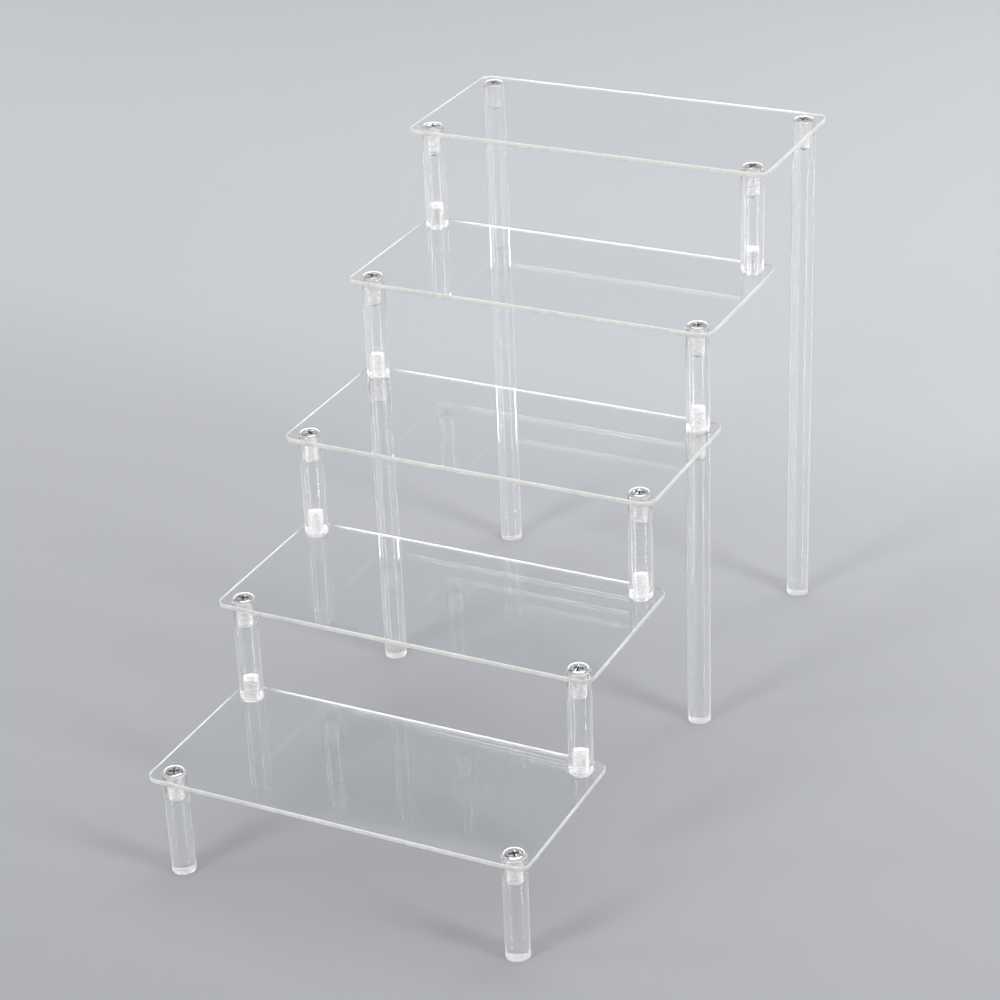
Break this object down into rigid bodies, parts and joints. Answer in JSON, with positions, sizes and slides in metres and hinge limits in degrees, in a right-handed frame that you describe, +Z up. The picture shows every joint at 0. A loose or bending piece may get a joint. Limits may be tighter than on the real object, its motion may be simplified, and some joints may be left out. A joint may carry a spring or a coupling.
{
  "type": "eyeglasses display stand",
  "caption": "Stepped countertop display stand for eyeglasses: clear acrylic sheets climbing to the rear on clear round rods, joined by countersunk screws.",
  "frame": {"origin": "on the table, under the centre of the stand's bounding box", "axes": "+Z up, +X to the right of a person in front of the stand, -Y towards that person, so the steps climb along +Y"},
  "size_m": [0.167, 0.327, 0.235],
  "materials": {
    "clear_sheet": "clear cast acrylic sheet with polished edges",
    "clear_rod": "clear acrylic rod, polished outside, with frosted tapped holes",
    "screw_metal": "bright nickel-plated steel"
  },
  "bodies": {
    "root": {"shelf_sheet_1": "clear_sheet", "shelf_sheet_2": "clear_sheet", "shelf_sheet_3": "clear_sheet", "shelf_sheet_4": "clear_sheet", "shelf_sheet_5": "clear_sheet", "front_leg_left": "clear_rod", "middle_leg_left": "clear_rod", "rear_leg_left": "clear_rod", "riser_post_1_left": "clear_rod", "riser_post_2_left": "clear_rod", "riser_post_3_left": "clear_rod", "riser_post_4_left": "clear_rod", "front_screw_1_left": "screw_metal", "front_screw_2_left": "screw_metal", "front_screw_3_left": "screw_metal", "front_screw_4_left": "screw_metal", "front_screw_5_left": "screw_metal", "rear_screw_left": "screw_metal", "under_screw_1_left": "screw_metal", "under_screw_2_left": "screw_metal", "under_screw_4_left": "screw_metal", "joining_stud_left": "screw_metal", "front_leg_right": "clear_rod", "middle_leg_right": "clear_rod", "rear_leg_right": "clear_rod", "riser_post_1_right": "clear_rod", "riser_post_2_right": "clear_rod", "riser_post_3_right": "clear_rod", "riser_post_4_right": "clear_rod", "front_screw_1_right": "screw_metal", "front_screw_2_right": "screw_metal", "front_screw_3_right": "screw_metal", "front_screw_4_right": "screw_metal", "front_screw_5_right": "screw_metal", "rear_screw_right": "screw_metal", "under_screw_1_right": "screw_metal", "under_screw_2_right": "screw_metal", "under_screw_4_right": "screw_metal", "joining_stud_right": "screw_metal"}
  },
  "joints": []
}
